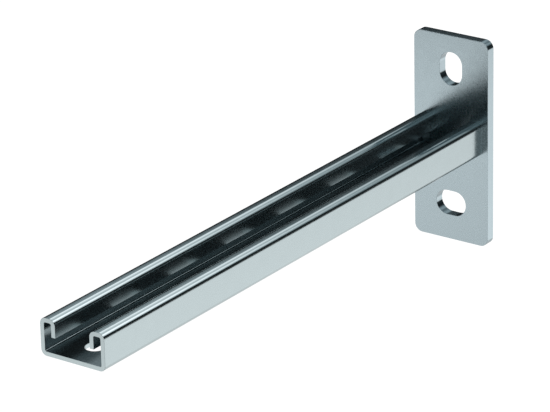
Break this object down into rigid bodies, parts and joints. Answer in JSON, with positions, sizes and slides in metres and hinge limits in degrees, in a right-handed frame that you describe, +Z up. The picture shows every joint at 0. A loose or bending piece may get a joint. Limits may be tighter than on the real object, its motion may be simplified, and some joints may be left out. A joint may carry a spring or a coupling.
{
  "type": "cantilever strut arm",
  "caption": "Wall bracket for pipes, trays and ducts: a slotted steel wall plate with a lipped strut channel welded square to it, its open side up.",
  "frame": {"origin": "middle of the wall plate's back face, which lies on the wall", "axes": "+X out from the wall along the arm, +Y sideways along the wall, +Z up"},
  "size_m": [0.356, 0.05, 0.125],
  "materials": {
    "zinc_coated_plate": "zinc-coated flat bar, satin, with a fine mottled grain",
    "zinc_coated_strip": "zinc-coated rolled strip, satin, with a faint grain along the arm",
    "zinc_coated_weld": "zinc-coated weld bead, rippled"
  },
  "bodies": {
    "root": {"wall_plate": "zinc_coated_plate", "channel_arm": "zinc_coated_strip", "weld_under_arm": "zinc_coated_weld", "weld_inside_arm": "zinc_coated_weld"}
  },
  "joints": []
}
